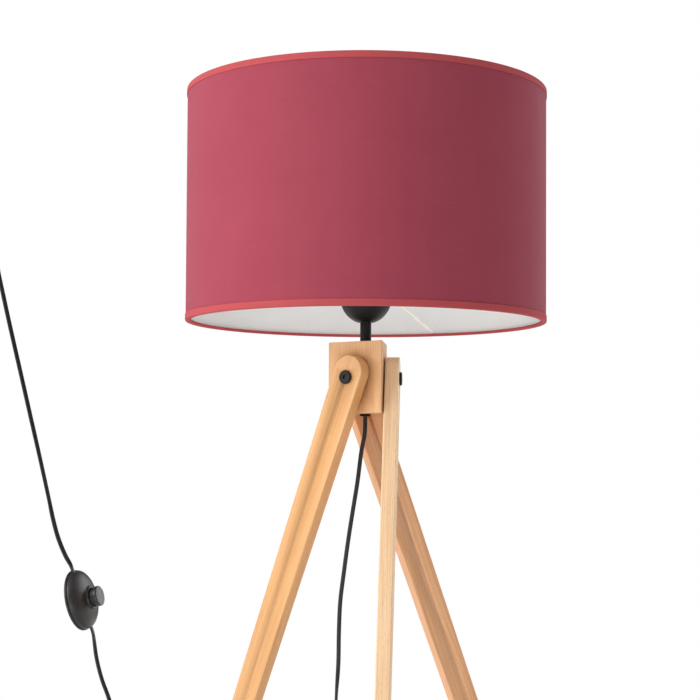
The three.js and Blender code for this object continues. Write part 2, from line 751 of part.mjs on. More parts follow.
function leadTube(points, steps) {
  const curve = new THREE.CatmullRomCurve3(points.map((p) => new THREE.Vector3(...p)));
  const section = new THREE.Shape();
  for (let i = 0; i < 8; i += 1) {
    const angle = (Math.PI * i) / 4;
    section[i ? 'lineTo' : 'moveTo'](LEAD_RADIUS * Math.cos(angle), LEAD_RADIUS * Math.sin(angle));
  }
  return new THREE.ExtrudeGeometry(section, { steps, extrudePath: curve, bevelEnabled: false });
}

function lead() {
  return [
    piece('lead_inner', rod(LEAD_RADIUS, rodBottom + GAP, holder.coreBottom - 1, 12), BLACK_PLASTIC),
    piece('lead_to_switch', leadTube(LEAD_TO_SWITCH, 64), BLACK_PLASTIC),
    piece('lead_to_plug', leadTube(LEAD_TO_PLUG, 16), BLACK_PLASTIC),
  ];
}

// ---------------------------------------------------------------- assembly
const stand = new THREE.Group();
stand.add(
  piece('head_block', headBlock(), BEECH),
  legAssembly(0),
  legAssembly(1),
  legAssembly(2),
  ...stem(),
  ...lampholder(),
  ...bulb(),
  ...shade(),
  ...spider(),
);

// The origin is on the floor under the middle of the stand's own box, which the lead doesn't count in.
const middle = new THREE.Box3().setFromObject(stand, true).getCenter(new THREE.Vector3());
const lamp = new THREE.Group();
lamp.add(stand, footSwitch(), plug(), ...lead());
lamp.position.set(-middle.x, -middle.y, 0);

export default lamp;
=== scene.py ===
import json
import math

import bmesh
import bpy
from mathutils import Matrix, Vector


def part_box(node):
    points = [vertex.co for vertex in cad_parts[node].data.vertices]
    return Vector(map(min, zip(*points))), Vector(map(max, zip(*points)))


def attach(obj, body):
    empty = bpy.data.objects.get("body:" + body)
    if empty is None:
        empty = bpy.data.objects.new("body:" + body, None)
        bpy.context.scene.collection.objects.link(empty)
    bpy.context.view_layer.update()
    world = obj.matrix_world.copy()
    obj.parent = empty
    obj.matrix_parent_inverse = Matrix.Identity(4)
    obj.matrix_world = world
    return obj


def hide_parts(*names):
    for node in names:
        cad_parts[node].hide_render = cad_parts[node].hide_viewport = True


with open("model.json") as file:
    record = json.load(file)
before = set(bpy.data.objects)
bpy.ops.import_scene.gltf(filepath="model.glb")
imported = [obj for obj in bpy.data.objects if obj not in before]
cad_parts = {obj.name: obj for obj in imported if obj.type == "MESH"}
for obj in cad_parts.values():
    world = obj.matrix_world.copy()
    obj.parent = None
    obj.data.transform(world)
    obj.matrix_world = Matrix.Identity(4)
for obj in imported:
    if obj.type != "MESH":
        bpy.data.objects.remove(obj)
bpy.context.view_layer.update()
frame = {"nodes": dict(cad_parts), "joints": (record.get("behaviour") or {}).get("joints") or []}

MM = 0.001
CLOTH_UV = "Cloth"


def middle(node):
    """Middle of a CAD node's box."""
    low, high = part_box(node)
    return (low + high) / 2


axis = Vector((middle("stem_tube").x, middle("stem_tube").y, 0))
on_axis = Matrix.Translation(axis)
joints = {joint["name"]: joint for joint in frame["joints"]}

# ---------------------------------------------------------------- camera
CAMERA_DISTANCE = 2.138
CAMERA_HEIGHT = 0.972
CAMERA_PITCH = 2.5  # degrees above level
CAMERA_ROLL = 0.3  # degrees
CAMERA_SHIFT = (-0.022, 0.0693)
SENSOR_WIDTH = 36  # millimetres
FOCAL_LENGTH = 87.9  # millimetres
FARTHEST_SEEN = 60

camera = bpy.data.objects.new("camera", bpy.data.cameras.new("camera"))
camera.location = axis + Vector((0, -CAMERA_DISTANCE, CAMERA_HEIGHT))
pitched = Matrix.Rotation(math.radians(90 + CAMERA_PITCH), 3, "X")
rolled = Matrix.Rotation(math.radians(CAMERA_ROLL), 3, "Z")
camera.rotation_euler = (pitched @ rolled).to_euler()
camera.data.sensor_width = SENSOR_WIDTH
camera.data.lens = FOCAL_LENGTH
camera.data.shift_x, camera.data.shift_y = CAMERA_SHIFT
camera.data.clip_end = FARTHEST_SEEN
bpy.context.scene.collection.objects.link(camera)
bpy.context.scene.camera = camera


# ---------------------------------------------------------------- mesh helpers
SHARP_ANGLE = 35  # degrees; an edge with a sharper turn isn't shaded smooth
ON_AXIS = 1e-7  # a smaller radius is a point on the axis


def finished(name, mesh, look, body="stand", replaced=(), place=None, sharpen=True):
    """Makes the mesh an object with its material, riding on a body and standing for CAD nodes."""
    if place is not None:
        mesh.transform(place)
    for polygon in mesh.polygons:
        polygon.use_smooth = True
    if sharpen:
        mesh.set_sharp_from_angle(angle=math.radians(SHARP_ANGLE))
    mesh.materials.clear()
    mesh.materials.append(look)
    thing = bpy.data.objects.new(name, mesh)
    bpy.context.scene.collection.objects.link(thing)
    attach(thing, body)
    if replaced:
        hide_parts(*replaced)
    return thing


def to_mesh(bm, name):
    """Turns the bmesh into a mesh with its faces outward, and frees it."""
    bmesh.ops.recalc_face_normals(bm, faces=bm.faces)
    mesh = bpy.data.meshes.new(name)
    bm.to_mesh(mesh)
    bm.free()
    return mesh


def lathe(name, profile, steps=96, loop=False, flats=None):
    """Turns (radius, height) pairs round Z, in a ring that closes if loop is set.

    flats holds the numbers of the pairs that are hexagons, whose radius is the distance to a flat.
    """
    bm = bmesh.new()
    uv = bm.loops.layers.uv.new(CLOTH_UV)
    rings = []
    for number, (radius, height) in enumerate(profile):
        if radius < ON_AXIS:
            rings.append([bm.verts.new((0, 0, height))] * steps)
            continue
        ring = []
        for step in range(steps):
            turn = 2 * math.pi * step / steps
            reach = radius
            if flats and number in flats:
                reach = radius / math.cos((turn % (math.pi / 3)) - math.pi / 6)
            ring.append(bm.verts.new((reach * math.cos(turn), reach * math.sin(turn), height)))
        rings.append(ring)
    along = [0.0]
    for (r0, z0), (r1, z1) in zip(profile, profile[1:] + profile[:1]):
        along.append(along[-1] + math.hypot(r1 - r0, z1 - z0))
    widest = max(radius for radius, _ in profile)
    for i in range(len(rings) if loop else len(rings) - 1):
        lower, upper = rings[i], rings[(i + 1) % len(rings)]
        for step in range(steps):
            after = (step + 1) % steps
            corners = [
                (lower[step], step, along[i]),
                (lower[after], step + 1, along[i]),
                (upper[after], step + 1, along[i + 1]),
                (upper[step], step, along[i + 1]),
            ]
            kept = []
            for corner in corners:
                if all(corner[0] is not other[0] for other in kept):
                    kept.append(corner)
            if len(kept) < 3:
                continue
            face = bm.faces.new([corner[0] for corner in kept])
            for loop_corner, (_, turn, distance) in zip(face.loops, kept):
                loop_corner[uv].uv = (2 * math.pi * widest * turn / steps, distance)
    return to_mesh(bm, name)


def arc(centre_radius, centre_height, radius, start, end, steps):
    """Points of an arc in a profile, angles in degrees from the outward direction."""
    points = []
    for step in range(steps + 1):
        angle = math.radians(start + (end - start) * step / steps)
        points.append((centre_radius + radius * math.cos(angle), centre_height + radius * math.sin(angle)))
    return points


def in_mm(profile):
    """A profile given in millimetres, in metres."""
    return [(radius * MM, height * MM) for radius, height in profile]


def turned_piece(name, profile, look, place, node=None, steps=96, loop=False, flats=None, body="stand"):
    """A lathed piece from a profile in millimetres, which stands for a CAD node if one is given."""
    mesh = lathe(name, in_mm(profile), steps, loop, flats)
    return finished(name, mesh, look, body, (node,) if node else (), place)


def along_y(node):
    """Place of a lathed piece that runs along +Y from the low end of the node's box."""
    low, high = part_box(node)
    foot = Matrix.Translation(((low.x + high.x) / 2, low.y, (low.z + high.z) / 2))
    return foot @ Matrix.Rotation(math.radians(-90), 4, "X")


def smooth_route(points, step):
    """Points about a step apart on a centripetal Catmull-Rom curve through the given ones."""
    knots = [2 * points[0] - points[1], *points, 2 * points[-1] - points[-2]]
    route = []
    for a, b, c, d in zip(knots, knots[1:], knots[2:], knots[3:]):
        t1 = math.sqrt((b - a).length)
        t2 = t1 + math.sqrt((c - b).length)
        t3 = t2 + math.sqrt((d - c).length)
        count = max(2, round((c - b).length / step))
        for i in range(count):
            t = t1 + (t2 - t1) * i / count
            ab = a * ((t1 - t) / t1) + b * (t / t1)
            bc = b * ((t2 - t) / (t2 - t1)) + c * ((t - t1) / (t2 - t1))
            cd = c * ((t3 - t) / (t3 - t2)) + d * ((t - t2) / (t3 - t2))
            left = ab * ((t2 - t) / t2) + bc * (t / t2)
            right = bc * ((t3 - t) / (t3 - t1)) + cd * ((t - t1) / (t3 - t1))
            route.append(left * ((t2 - t) / (t2 - t1)) + right * ((t - t1) / (t2 - t1)))
    return [*route, points[-1]]


def sweep(name, route, section, wides, closed=False):
    """Carries a section along a route. wides gives the section's wide direction at each point."""
    bm = bmesh.new()
    rings = []
    last = len(route) - 1
    for i, place in enumerate(route):
        before = route[i - 1] if i or closed else route[0]
        after = route[(i + 1) % len(route)] if i < last or closed else route[last]
        run = (after - before).normalized()
        wide = (wides[i] - run * wides[i].dot(run)).normalized()
        thin = run.cross(wide)
        rings.append([bm.verts.new(place + wide * x + thin * y) for x, y in section])
    count = len(section)
    for i in range(len(rings) if closed else last):
        lower, upper = rings[i], rings[(i + 1) % len(rings)]
        for j in range(count):
            k = (j + 1) % count
            bm.faces.new((lower[j], lower[k], upper[k], upper[j]))
    if not closed:
        bm.faces.new(rings[0])
        bm.faces.new(rings[-1])
    return to_mesh(bm, name)


def circle(radius, steps):
    """Points of a circle, in a section or an outline."""
    turns = [2 * math.pi * i / steps for i in range(steps)]
    return [(radius * math.cos(turn), radius * math.sin(turn)) for turn in turns]


# ---------------------------------------------------------------- mains lead, route
# Millimetres from the stem's axis, as in the part's own source.
LEAD_LOW = 2.5  # height of the lead's centre on the floor
LEAD_TO_SWITCH = [
    (0, 0, 1042.6), (-0.5, 0, 1022), (-4.5, 1, 1000), (-9.5, 2, 960), (-14.5, 3, 928),
    (-20, 4, 892), (-25.5, 5, 850), (-30, 6, 812), (-31.5, 6, 775), (-32, 6, 735),
    (-34.5, 6, 687), (-34, 5, 600), (-29, 2, 480), (-23, 0, 360), (-16, -4, 240),
    (-9, -9, 140), (-3, -17, 62), (4, -30, 24), (10, -46, 8), (13, -66, 3),
    (8, -87, LEAD_LOW), (-9, -103, LEAD_LOW), (-34, -109, LEAD_LOW), (-64, -105, LEAD_LOW),
    (-96, -93, LEAD_LOW), (-130, -77, 3), (-164, -64, 7), (-199, -56, 28),
    (-228, -52, 82), (-247, -51, 180), (-263, -50, 320), (-277, -50, 470),
    (-290, -50, 600), (-307, -51, 690), (-318.5, -51, 722), (-325, -51, 747),
    (-329.3, -51.5, 776), (-331.49, -53.32, 783.52),
]
LEAD_TO_PLUG = [
    (-351.57, -69.52, 851.34), (-353.8, -71.3, 858.8), (-360, -72.5, 870), (-369.5, -70, 891),
    (-377, -65.5, 914), (-383, -62, 938),
    (-394.5, -60, 986), (-406.3, -60, 1035), (-420, -60, 1092), (-434, -60, 1150),
    (-447, -60, 1206), (-456, -59, 1244), (-467, -57, 1273), (-480, -48, 1293),
    (-491, -32, 1303), (-497, -12, 1305), (-497, 7.7, 1305),
]
# Which way the flat lead's wide side lies, at some of the route's points.
WIDE_TO_SWITCH = {
    0: (1, 0.15, 0), 9: (1, 0.1, 0), 10: (0.3, 1, 0), 12: (0.2, 1, 0), 15: (1, 0, 0),
    19: (1, 0, 0), 20: (0.86, -0.51, 0), 22: (0, -1, 0), 24: (-0.39, -0.92, 0),
    26: (-0.29, -0.96, 0), 28: (0, -1, 0), 31: (-0.4, -0.9, 0), 33: (-0.75, -0.65, -0.1),
    35: (-0.6, -0.75, -0.2), 37: (-0.19, -0.94, -0.28),
}
WIDE_TO_PLUG = {
    0: (0.19, 0.94, 0.28), 2: (1, 0.2, 0.3), 4: (0.95, 0.3, 0.3), 5: (0.6, 0.8, 0.2),
    7: (0.8, 0.6, 0.25), 12: (0.9, 0.4, 0.2), 14: (1, 0, 0), 16: (1, 0, 0),
}
LEAD_WIDTH = 5.4 * MM
LEAD_THICKNESS = 3.2 * MM
LEAD_STEP = 4 * MM  # distance between the route's points
LEAD_REACH = 3 * MM  # how far each end runs on, straight, into what holds it
LEAD_GROOVE = 0.9  # the sheath's thickness in the groove, as a share of its whole thickness


def lead_section():
    """Outline of a flat twin lead: two round cores under one sheath, with a shallow groove between."""
    core = LEAD_THICKNESS / 2
    offset = LEAD_WIDTH / 2 - core
    groove = LEAD_GROOVE * core
    right = [(offset + x, y) for x, y in arc(0, 0, core, -90, 90, 8)]
    left = [(-offset + x, y) for x, y in arc(0, 0, core, 90, 270, 8)]
    return [*right, (0, groove), *left, (0, -groove)]


def lead_route(points):
    """The route in metres, in the frame."""
    return smooth_route([axis + Vector(point) * MM for point in points], LEAD_STEP)


def lead_wides(points, wides, route):
    """Wide direction at each point of the route, eased between the given ones."""
    places = [axis + Vector(point) * MM for point in points]
    nearest = {
        number: min(range(len(route)), key=lambda i: (route[i] - places[number]).length_squared)
        for number in wides
    }
    marks = sorted((nearest[number], Vector(wides[number]).normalized()) for number in wides)
    result = []
    for i in range(len(route)):
        following = next((k for k, mark in enumerate(marks) if mark[0] >= i), len(marks) - 1)
        (start, first), (end, second) = marks[max(following - 1, 0)], marks[following]
        share = (i - start) / (end - start) if end > start else 0
        share = share * share * (3 - 2 * share)
        result.append(first.lerp(second, min(max(share, 0), 1)).normalized())
    return result


# ---------------------------------------------------------------- materials
def rgb(red, green, blue):
    """A colour given as display values, as the shader's linear one."""
    linear = []
    for value in (red / 255, green / 255, blue / 255):
        linear.append(value / 12.92 if value <= 0.04045 else ((value + 0.055) / 1.055) ** 2.4)
    return (*linear, 1.0)


class Look:
    """A material, with short calls that add nodes and link them."""

    def __init__(self, name, **values):
        self.material = bpy.data.materials.new(name)
        self.material.use_nodes = True
        self.tree = self.material.node_tree
        self.shader = self.tree.nodes["Principled BSDF"]
        for socket, value in values.items():
            self.shader.inputs[socket.replace("_", " ")].default_value = value

    def add(self, kind, inputs, output=0, **settings):
        made = self.tree.nodes.new("ShaderNode" + kind)
        for name, value in settings.items():
            setattr(made, name, value)
        for name, value in inputs.items():
            if isinstance(value, bpy.types.NodeSocket):
                self.tree.links.new(value, made.inputs[name])
            else:
                made.inputs[name].default_value = value
        return made.outputs[output]

    def place(self):
        return self.add("TexCoord", {}, output="Object")

    def cloth_place(self):
        return self.add("UVMap", {}, uv_map=CLOTH_UV)

    def scaled(self, vector, scale, location=(0, 0, 0), rotation=(0, 0, 0)):
        inputs = {"Vector": vector, "Scale": scale, "Location": location, "Rotation": rotation}
        return self.add("Mapping", inputs)

    def noise(self, vector, scale=1.0, detail=2.0, roughness=0.5, output=0):
        inputs = {"Vector": vector, "Scale": scale, "Detail": detail, "Roughness": roughness}
        return self.add("TexNoise", inputs, output=output)

    def math(self, operation, first, second=0.0):
        return self.add("Math", {0: first, 1: second}, operation=operation)

    def span(self, value, low, high, new_low=0.0, new_high=1.0):
        inputs = {
            "Value": value, "From Min": low, "From Max": high, "To Min": new_low, "To Max": new_high,
        }
        return self.add("MapRange", inputs)

    def mix(self, share, first, second):
        return self.add("Mix", {0: share, 6: first, 7: second}, output=2, data_type="RGBA")

    def bump(self, height, strength, distance):
        return self.add("Bump", {"Height": height, "Strength": strength, "Distance": distance})

    def set(self, **links):
        for socket, value in links.items():
            self.tree.links.new(value, self.shader.inputs[socket.replace("_", " ")])
        return self.material


# How far the wood's rings wander, in metres, and how much each part of its figure colours it at most.
RING_DRIFT = 0.026
TONE_SHARE = 0.5
LATE_WOOD_SHARE = 0.3
FIBRE_SHARE = 0.36
FLECK_SHARE = 0.3
FLECK_COLOUR = rgb(160, 106, 66)


def wood_look(name, board, pith, lean, rings, seed, light, dark, warm):
    """Lacquered beech, grain along the board's own Z: growth rings round a leaning pith, fibres, flecks."""
    look = Look(name, Specular_IOR_Level=0.35, Coat_Weight=0.12, Coat_Roughness=0.4)
    inputs = {
        "Vector": look.place(),
        "Location": board.translation + board.to_3x3() @ Vector((0, 0, -seed)),
        "Rotation": board.to_euler(),
    }
    place = look.add("Mapping", inputs, vector_type="TEXTURE")
    drift = look.noise(look.scaled(place, (9, 9, 2.2)), detail=1.5, output=1)
    drift = look.add("VectorMath", {0: drift, 1: (0.5, 0.5, 0.5)}, operation="SUBTRACT")
    drift = look.add("VectorMath", {0: drift, 1: (RING_DRIFT, RING_DRIFT, 0)}, operation="MULTIPLY")
    warped = look.add("VectorMath", {0: place, 1: drift}, operation="ADD")
    leaning = look.scaled(warped, (1, 1, 0), location=(*pith, 0), rotation=(*lean, 0))
    distance = look.add("VectorMath", {0: leaning}, output="Value", operation="LENGTH")
    ring = look.math("FRACT", look.math("MULTIPLY", distance, rings))
    late = look.add("ValToRGB", {"Fac": ring})
    ramp = late.node.color_ramp
    ramp.elements[0].color = (0, 0, 0, 1)
    ramp.elements[1].position = 0.9
    ramp.elements[1].color = (1, 1, 1, 1)
    for position, grey in ((0.6, 0.18), (1.0, 0.05)):
        ramp.elements.new(position).color = (grey, grey, grey, 1)
    fibre = look.noise(look.scaled(place, (620, 620, 9)), detail=3, roughness=0.6)
    fine = look.noise(look.scaled(place, (2600, 2600, 60)), detail=1)
    fleck = look.noise(look.scaled(place, (1500, 1500, 190)), detail=0)
    tone = look.noise(look.scaled(place, (26, 26, 3)), detail=2)
    colour = look.mix(look.span(tone, 0.35, 0.65, 0, TONE_SHARE), light, warm)
    colour = look.mix(look.math("MULTIPLY", late, LATE_WOOD_SHARE), colour, dark)
    colour = look.mix(look.span(fibre, 0.42, 0.62, 0, FIBRE_SHARE), colour, dark)
    colour = look.mix(look.span(fleck, 0.7, 0.78, 0, FLECK_SHARE), colour, FLECK_COLOUR)
    rough = look.span(fibre, 0.3, 0.7, 0.38, 0.52)
    height = look.math("ADD", look.math("MULTIPLY", fibre, 0.6), look.math("MULTIPLY", fine, 0.4))
    return look.set(Base_Color=colour, Roughness=rough, Normal=look.bump(height, 0.25, 0.0002))


# How much the weave and the broad unevenness colour the cloth, and the weave's mean value.
WEAVE_SHARE = 0.25
CLOUD_SHARE = 0.25
WEAVE_MEAN = 0.64
SHEEN_TINT = (1, 0.68, 0.74, 1)


def cloth_look(name, low, high, pitch, streak, sheen):
    """Plain weave with uneven threads. pitch is the thread spacing in the UV map's metres."""
    look = Look(name, Roughness=0.92, Specular_IOR_Level=0.2, Sheen_Weight=sheen, Sheen_Roughness=0.45)
    look.shader.inputs["Sheen Tint"].default_value = SHEEN_TINT
    place = look.cloth_place()
    threads = look.add("VectorMath", {0: place, "Scale": math.pi / pitch}, operation="SCALE")
    across = look.add("SeparateXYZ", {"Vector": threads}).node.outputs
    warp = look.math("ABSOLUTE", look.math("SINE", across[0]))
    weft = look.math("ABSOLUTE", look.math("SINE", across[1]))
    over = look.math("MULTIPLY", look.math("SINE", across[0]), look.math("SINE", across[1]))
    over = look.span(over, -0.25, 0.25)
    weave = look.add("Mix", {0: over, 2: warp, 3: weft}, data_type="FLOAT")
    slub = look.noise(look.scaled(place, (9, 1500, 1)), detail=3, roughness=0.65)
    slub_up = look.noise(look.scaled(place, (1500, 9, 1)), detail=2, roughness=0.6)
    cloud = look.noise(look.scaled(place, (14, 14, 1)), detail=2)
    share = look.math("ADD", look.math("MULTIPLY", slub, streak), look.math("MULTIPLY", slub_up, streak / 3))
    share = look.math("ADD", share, look.math("MULTIPLY", weave, WEAVE_SHARE))
    share = look.math("ADD", share, look.math("MULTIPLY", cloud, CLOUD_SHARE))
    middle_share = 0.5 * streak * 4 / 3 + WEAVE_SHARE * WEAVE_MEAN + 0.5 * CLOUD_SHARE
    share = look.span(share, middle_share - 0.5, middle_share + 0.5)
    colour = look.mix(share, low, high)
    height = look.math("ADD", weave, look.math("MULTIPLY", slub, 0.6))
    return look.set(Base_Color=colour, Normal=look.bump(height, 0.35, pitch * 0.35))


def speckled_look(name, low, high, grain, rough, strength=0.2, **values):
    """Moulded or coated surface: fine grain in colour, roughness and height, with a faint cloud."""
    look = Look(name, **values)
    place = look.place()
    speck = look.noise(place, scale=grain, detail=2, roughness=0.6)
    cloud = look.noise(place, scale=grain / 60, detail=3)
    share = look.math("ADD", look.math("MULTIPLY", speck, 0.6), look.math("MULTIPLY", cloud, 0.4))
    colour = look.mix(look.span(share, 0.35, 0.65), low, high)
    roughness = look.span(look.math("ADD", speck, cloud), 0.7, 1.3, rough - 0.06, rough + 0.06)
    return look.set(
        Base_Color=colour, Roughness=roughness, Normal=look.bump(speck, strength, 0.3 / grain)
    )


def metal_look(name, low, high, rough, stretch):
    """Bare metal with fine drawn lines along Z."""
    look = Look(name, Metallic=1.0)
    lines = look.noise(look.scaled(look.place(), (4000, 4000, 4000 / stretch)), detail=2)
    cloud = look.noise(look.place(), scale=120, detail=3)
    colour = look.mix(look.span(cloud, 0.3, 0.7), low, high)
    roughness = look.span(lines, 0.3, 0.7, rough - 0.08, rough + 0.1)
    return look.set(Base_Color=colour, Roughness=roughness, Normal=look.bump(lines, 0.15, 0.00004))


# Each board's pith, the pith's lean, growth rings per metre, the grain's place along it, and its colours. The
# lighter colours of legs 2 and 3 are painted light, standing in for the front light that falls on them.
LEG_GRAINS_AND_PAINTED_LIGHT = [
    ((0.003, 0.013), (0.034, 0.026), 260, 1.3, rgb(230, 177, 120), rgb(200, 142, 88), rgb(220, 163, 104)),
    # Legs 2 and 3: wood colours made lighter than leg 1's, as painted light for the front light on them.
    ((0.012, 0.09), (0.004, 0.003), 380, 4.7, rgb(253, 218, 176), rgb(206, 154, 108), rgb(242, 198, 152)),
    ((-0.004, 0.014), (-0.03, 0.024), 260, 8.2, rgb(242, 186, 138), rgb(194, 136, 94), rgb(226, 166, 118)),
]
BLOCK_GRAIN = (
    (0.05, 0.09), (0.01, 0.0), 300, 6.1, rgb(232, 181, 130), rgb(198, 142, 96), rgb(220, 165, 114)
)
BURGUNDY = cloth_look("burgundy_weave", rgb(140, 52, 68), rgb(170, 76, 91), 0.00055, 0.45, 0.12)
CORAL = cloth_look("coral_tape", rgb(168, 62, 66), rgb(192, 90, 94), 0.0007, 0.4, 0.02)
LINING = speckled_look(
    "white_lining", rgb(236, 236, 236), rgb(243, 243, 243), 700, 0.6, strength=0.06,
    Specular_IOR_Level=0.3,
)
CREAM_WIRE = speckled_look("cream_epoxy", rgb(250, 243, 228), rgb(255, 250, 238), 1500, 0.4, strength=0.1)
BLACK_STEEL = speckled_look(
    "black_powder_coat", rgb(9, 8, 8), rgb(16, 15, 14), 3200, 0.45, strength=0.12,
    Specular_IOR_Level=0.25,
)
BLACK_PLASTIC = speckled_look("black_moulding", rgb(30, 30, 31), rgb(40, 39, 39), 2600, 0.42, strength=0.08)
BUTTON_PLASTIC = speckled_look("black_button", rgb(36, 36, 37), rgb(44, 44, 45), 3600, 0.36, strength=0.06)
SHEATH = speckled_look("lead_sheath", rgb(16, 16, 17), rgb(24, 23, 23), 400, 0.38, strength=0.02)
STEEL = metal_look("zinc_plate", rgb(176, 178, 180), rgb(206, 208, 210), 0.32, 20)
BRASS = metal_look("brass", rgb(196, 158, 84), rgb(222, 186, 112), 0.28, 4)
CERAMIC = speckled_look("glazed_insulator", rgb(226, 222, 212), rgb(238, 235, 228), 900, 0.3, strength=0.05)
FELT = speckled_look("pressed_felt", rgb(46, 42, 38), rgb(74, 68, 62), 1700, 0.95, strength=0.8)
OPAL = speckled_look(
    "opal_bulb", rgb(240, 240, 238), rgb(247, 247, 245), 400, 0.3, strength=0.03,
    Subsurface_Weight=0.2, Subsurface_Scale=0.01,
)

# ---------------------------------------------------------------- mains lead
BASE_THICKNESS = 3 * MM
SWITCH_RUN = (0.2766, 0.2232, -0.9341)  # along the lead through the switch, as in the part's own source
switch_axis = -Vector(joints["switch_press"]["axis"]).normalized()
switch_across = switch_axis.cross(Vector(SWITCH_RUN)).normalized()
switch_run = switch_across.cross(switch_axis)
switch_centre = middle("switch_base") - switch_axis * (BASE_THICKNESS / 2)
switch_place = Matrix.Translation(switch_centre) @ Matrix(
    (switch_run, switch_across, switch_axis)
).transposed().to_4x4()


def lead(name, points, wides, node):
    """One stretch of lead and its route."""
    route = lead_route(points)
    route.insert(0, route[0] + (route[0] - route[1]).normalized() * LEAD_REACH)
    route.append(route[-1] + (route[-1] - route[-2]).normalized() * LEAD_REACH)
    mesh = sweep(name, route, lead_section(), lead_wides(points, wides, route))
    return finished(name, mesh, SHEATH, replaced=(node,)), route


lead_down, down_route = lead("lead_lamp_to_switch", LEAD_TO_SWITCH, WIDE_TO_SWITCH, "lead_to_switch")
lead_up, up_route = lead("lead_switch_to_plug", LEAD_TO_PLUG, WIDE_TO_PLUG, "lead_to_plug")


# ---------------------------------------------------------------- foot switch
def switch():
    """Base plate, domed cover and button, turned about the switch's own axis."""
    rim, lip, collar = 36.0, 37.0, 15.2
    turns = [math.radians(3.5 * i) for i in range(20)]
    dome = [(rim * math.cos(turn), 5 + 14 * math.sin(turn)) for turn in turns]
    dome = [(radius, height) for radius, height in dome if radius > collar]
    base_profile = [
        (0, 0.5), (9, 0.5), (9.4, 0.9), (28, 0.9), (28.5, 0.2), (lip - 1.2, 0),
        *arc(lip - 1.2, 1.2, 1.2, -90, 0, 5), *arc(lip - 1.0, 2.0, 1.0, 0, 90, 5), (0, 3.0),
    ]
    cover_profile = [
        (rim - 1.8, 3.3), (rim - 0.5, 3.3), *arc(rim - 0.5, 3.9, 0.5, -90, 0, 3), *dome,
        (14.9, 17.75), (14.2, 18.3), (13.9, 20.0), *arc(13.3, 20.0, 0.4, 0, 90, 4),
        (11.8, 20.4), (11.6, 20.2), (11.6, 15.8), (13.5, 15.4), (24, 13.2), (31, 9.0), (34, 4.4),
    ]
    cap_foot, cap_top = 24.2, 30.2
    button_profile = [
        (7.2, 12), (10.6, 12), (10.6, cap_foot), (11.6, cap_foot),
        *arc(11.6, cap_foot + 0.6, 0.6, -90, 0, 3), *arc(10.8, cap_top - 1.4, 1.4, 0, 80, 5),
        (9.6, cap_top - 0.15), (8.2, cap_top - 0.35), (4, cap_top - 0.6), (0, cap_top - 0.7),
    ]
    return [
        turned_piece("switch_base_plate", base_profile, BLACK_PLASTIC, switch_place,
                     "switch_base", 128),
        turned_piece("switch_dome", cover_profile, BLACK_PLASTIC, switch_place,
                     "switch_cover", 128, loop=True),
        turned_piece("switch_push_button", button_profile, BUTTON_PLASTIC, switch_place,
                     "switch_button", body="button"),
    ]


# ---------------------------------------------------------------- plug
def plug():
    """Flat two-pin plug with sleeved pins, and a tapered, ringed sleeve on the lead."""
    sleeve = [(0, 0), (2.9, 0), (3.3, 0.4)]
    for ring in range(5):
        foot = 1.5 + 4.6 * ring
        outer = 3.4 + 0.062 * foot
        waist = outer - 0.9
        sleeve += [(outer, foot), (outer + 0.05, foot + 3.0), (waist, foot + 3.4), (waist, foot + 4.2)]
    sleeve += [(5, 25), (5, 28), (0, 28)]
    sheath = [(0, 0), (1.9, 0), (1.9, 9.8), (1.75, 10), (0, 10)]
    tip = [(0, 10), (2, 10), (2, 17.4), *arc(0.6, 17.6, 1.4, 0, 90, 5), (0, 19)]
    pieces = [
        turned_piece("plug_relief", sleeve, BLACK_PLASTIC, along_y("plug_sleeve"),
                     "plug_sleeve", 48),
        fine_copy("plug_body", "plug_housing", BLACK_PLASTIC, 0.7),
    ]
    for number in (1, 2):
        node = f"plug_pin_{number}"
        place = along_y(node)
        pieces += [
            turned_piece(f"pin_sheath_{number}", sheath, BLACK_PLASTIC, place, steps=32),
            turned_piece(f"pin_tip_{number}", tip, BRASS, place, node, 32),
        ]
    return pieces


WELD_DISTANCE = 0.02 * MM
EASING_STEPS = 3


def fine_copy(node, name, look, easing, body="stand"):
    """A CAD node's own shape with its edges eased by so many millimetres, in its place."""
    mesh = frame["nodes"][node].data.copy()
    thing = bpy.data.objects.new(name, mesh)
    bpy.context.scene.collection.objects.link(thing)
    weld = thing.modifiers.new("weld", "WELD")
    weld.merge_threshold = WELD_DISTANCE
    bevel = thing.modifiers.new("bevel", "BEVEL")
    bevel.width = easing * MM
    bevel.segments = EASING_STEPS
    bevel.limit_method = "ANGLE"
    bevel.angle_limit = math.radians(25)
    normals = thing.modifiers.new("normals", "WEIGHTED_NORMAL")
    normals.keep_sharp = True
    baked = bpy.data.meshes.new_from_object(thing.evaluated_get(bpy.context.evaluated_depsgraph_get()))
    bpy.data.objects.remove(thing)
    return finished(name, baked, look, body, (node,), sharpen=False)


switch_pieces = switch()
plug_pieces = plug()


# ---------------------------------------------------------------- shade
shade_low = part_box("tape_bottom")[0].z
shade_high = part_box("tape_top")[1].z
SHADE_STEPS = 320  # round the shade
# Millimetres.
SHADE_RADIUS = 225.0
RIM_INSET = 0.8  # how far the cloth and the lining stop short of the rims
CLOTH_THICKNESS = 0.8
LINING_DEPTH = 1.1  # from the cloth's outside to the lining
LINING_THICKNESS = 0.6
TAPE_HEIGHT = 8.0
TAPE_TUCK = 3.6  # the height of the flap inside
TAPE_OUT = 0.8  # how far the tape stands out past the shade's radius
TAPE_IN = 6.3  # and how far in from it it reaches
TAPE_THICKNESS = 0.5
TAPE_FOLD = 1.6
TAPE_EDGE = 0.15  # easing of the flap's edge
SEAM_WIDTH = 12
SEAM_THICKNESS = 0.35
SEAM_EDGE = 0.05  # thickness along the seam's two edges
SEAM_GAP = 0.2  # between the seam and the tapes
